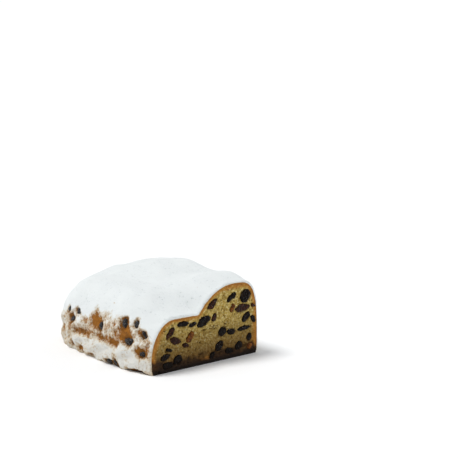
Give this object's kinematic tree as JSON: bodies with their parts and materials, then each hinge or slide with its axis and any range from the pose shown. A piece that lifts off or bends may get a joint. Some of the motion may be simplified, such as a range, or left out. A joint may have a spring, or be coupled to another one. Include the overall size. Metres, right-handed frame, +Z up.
{
  "type": "stollen half loaf",
  "caption": "Cut half of a folded Christmas fruit loaf with raisins and candied peel in its crumb, under a thick coat of icing sugar.",
  "frame": {"origin": "middle of the bottom of the whole part's box, on the surface it rests on", "axes": "+X along the loaf, out of the cut face; +Y towards the high back lobe; +Z up"},
  "size_m": [0.1408, 0.1196, 0.0679],
  "materials": {
    "crust": "matte golden-brown baked crust, pale open crumb on the cut face",
    "icing_sugar": "dry matte white powder",
    "raisin": "dark wrinkled skin with a moist sheen",
    "candied_peel": "translucent moist amber"
  },
  "bodies": {
    "root": {"loaf": "crust", "peel_cut_01": "candied_peel", "peel_cut_02": "candied_peel", "peel_cut_03": "candied_peel", "raisin_crust_01": "raisin", "raisin_crust_02": "raisin", "raisin_crust_03": "raisin", "raisin_crust_04": "raisin", "raisin_crust_05": "raisin", "raisin_crust_06": "raisin", "raisin_crust_07": "raisin", "raisin_crust_08": "raisin", "raisin_crust_09": "raisin", "raisin_crust_10": "raisin", "raisin_crust_11": "raisin", "raisin_crust_12": "raisin", "raisin_crust_13": "raisin", "raisin_crust_14": "raisin", "raisin_crust_15": "raisin", "raisin_cut_01": "raisin", "raisin_cut_02": "raisin", "raisin_cut_03": "raisin", "raisin_cut_04": "raisin", "raisin_cut_05": "raisin", "raisin_cut_06": "raisin", "raisin_cut_07": "raisin", "raisin_cut_08": "raisin", "raisin_cut_09": "raisin", "raisin_cut_10": "raisin", "raisin_cut_11": "raisin", "raisin_cut_12": "raisin", "raisin_cut_13": "raisin", "raisin_cut_14": "raisin", "raisin_cut_15": "raisin", "raisin_cut_16": "raisin", "raisin_cut_17": "raisin", "raisin_cut_18": "raisin", "raisin_cut_19": "raisin", "raisin_cut_20": "raisin", "raisin_cut_21": "raisin", "raisin_cut_22": "raisin", "raisin_cut_23": "raisin", "raisin_cut_24": "raisin", "raisin_cut_25": "raisin", "raisin_cut_26": "raisin", "sugar_coat": "icing_sugar", "sugar_drift_back": "icing_sugar", "sugar_drift_front_far": "icing_sugar", "sugar_drift_front_near": "icing_sugar"}
  },
  "joints": []
}
